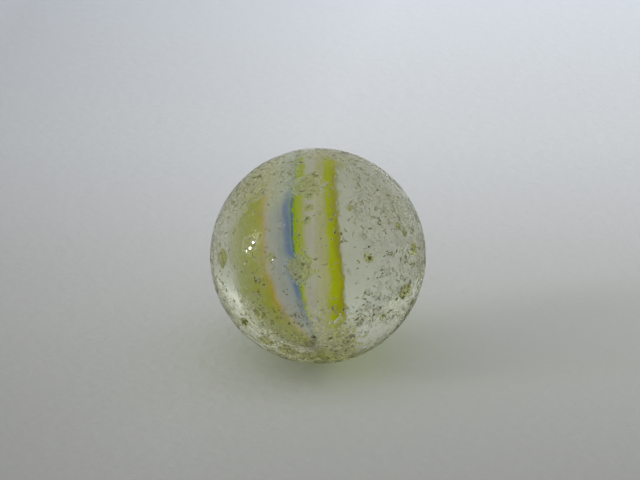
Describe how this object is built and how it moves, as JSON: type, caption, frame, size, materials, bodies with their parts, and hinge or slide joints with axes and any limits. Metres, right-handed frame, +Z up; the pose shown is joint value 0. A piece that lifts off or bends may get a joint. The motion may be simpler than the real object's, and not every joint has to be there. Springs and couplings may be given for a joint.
{
  "type": "glass marble",
  "caption": "Clear glass playing marble with a folded, striped ribbon of coloured glass inside and a worn, pitted surface.",
  "frame": {"origin": "centre of the ball", "axes": "+Z up, -Y towards the front, where the crest of the coloured ribbon shows; the ribbon's rod axis leans 62 degrees back from +Z"},
  "size_m": [0.016, 0.016, 0.016],
  "materials": {
    "clear_glass": "clear, worn, covered in fine pits",
    "blue_glass": "cloudy blue",
    "milk_glass": "cloudy grey white",
    "orange_glass": "cloudy orange",
    "pale_yellow_glass": "thin cloudy pale yellow",
    "yellow_glass": "cloudy yellow, green where it meets the blue",
    "white_glass": "cloudy white",
    "lemon_glass": "dense lemon yellow",
    "amber_glass": "cloudy amber"
  },
  "bodies": {
    "root": {"clear_glass": "clear_glass", "blue_stripe": "blue_glass", "milk_stripe": "milk_glass", "orange_thread": "orange_glass", "yellow_wing": "pale_yellow_glass", "yellow_stripe": "yellow_glass", "white_stripe": "white_glass", "lemon_stripe": "lemon_glass", "amber_edge": "amber_glass"}
  },
  "joints": []
}
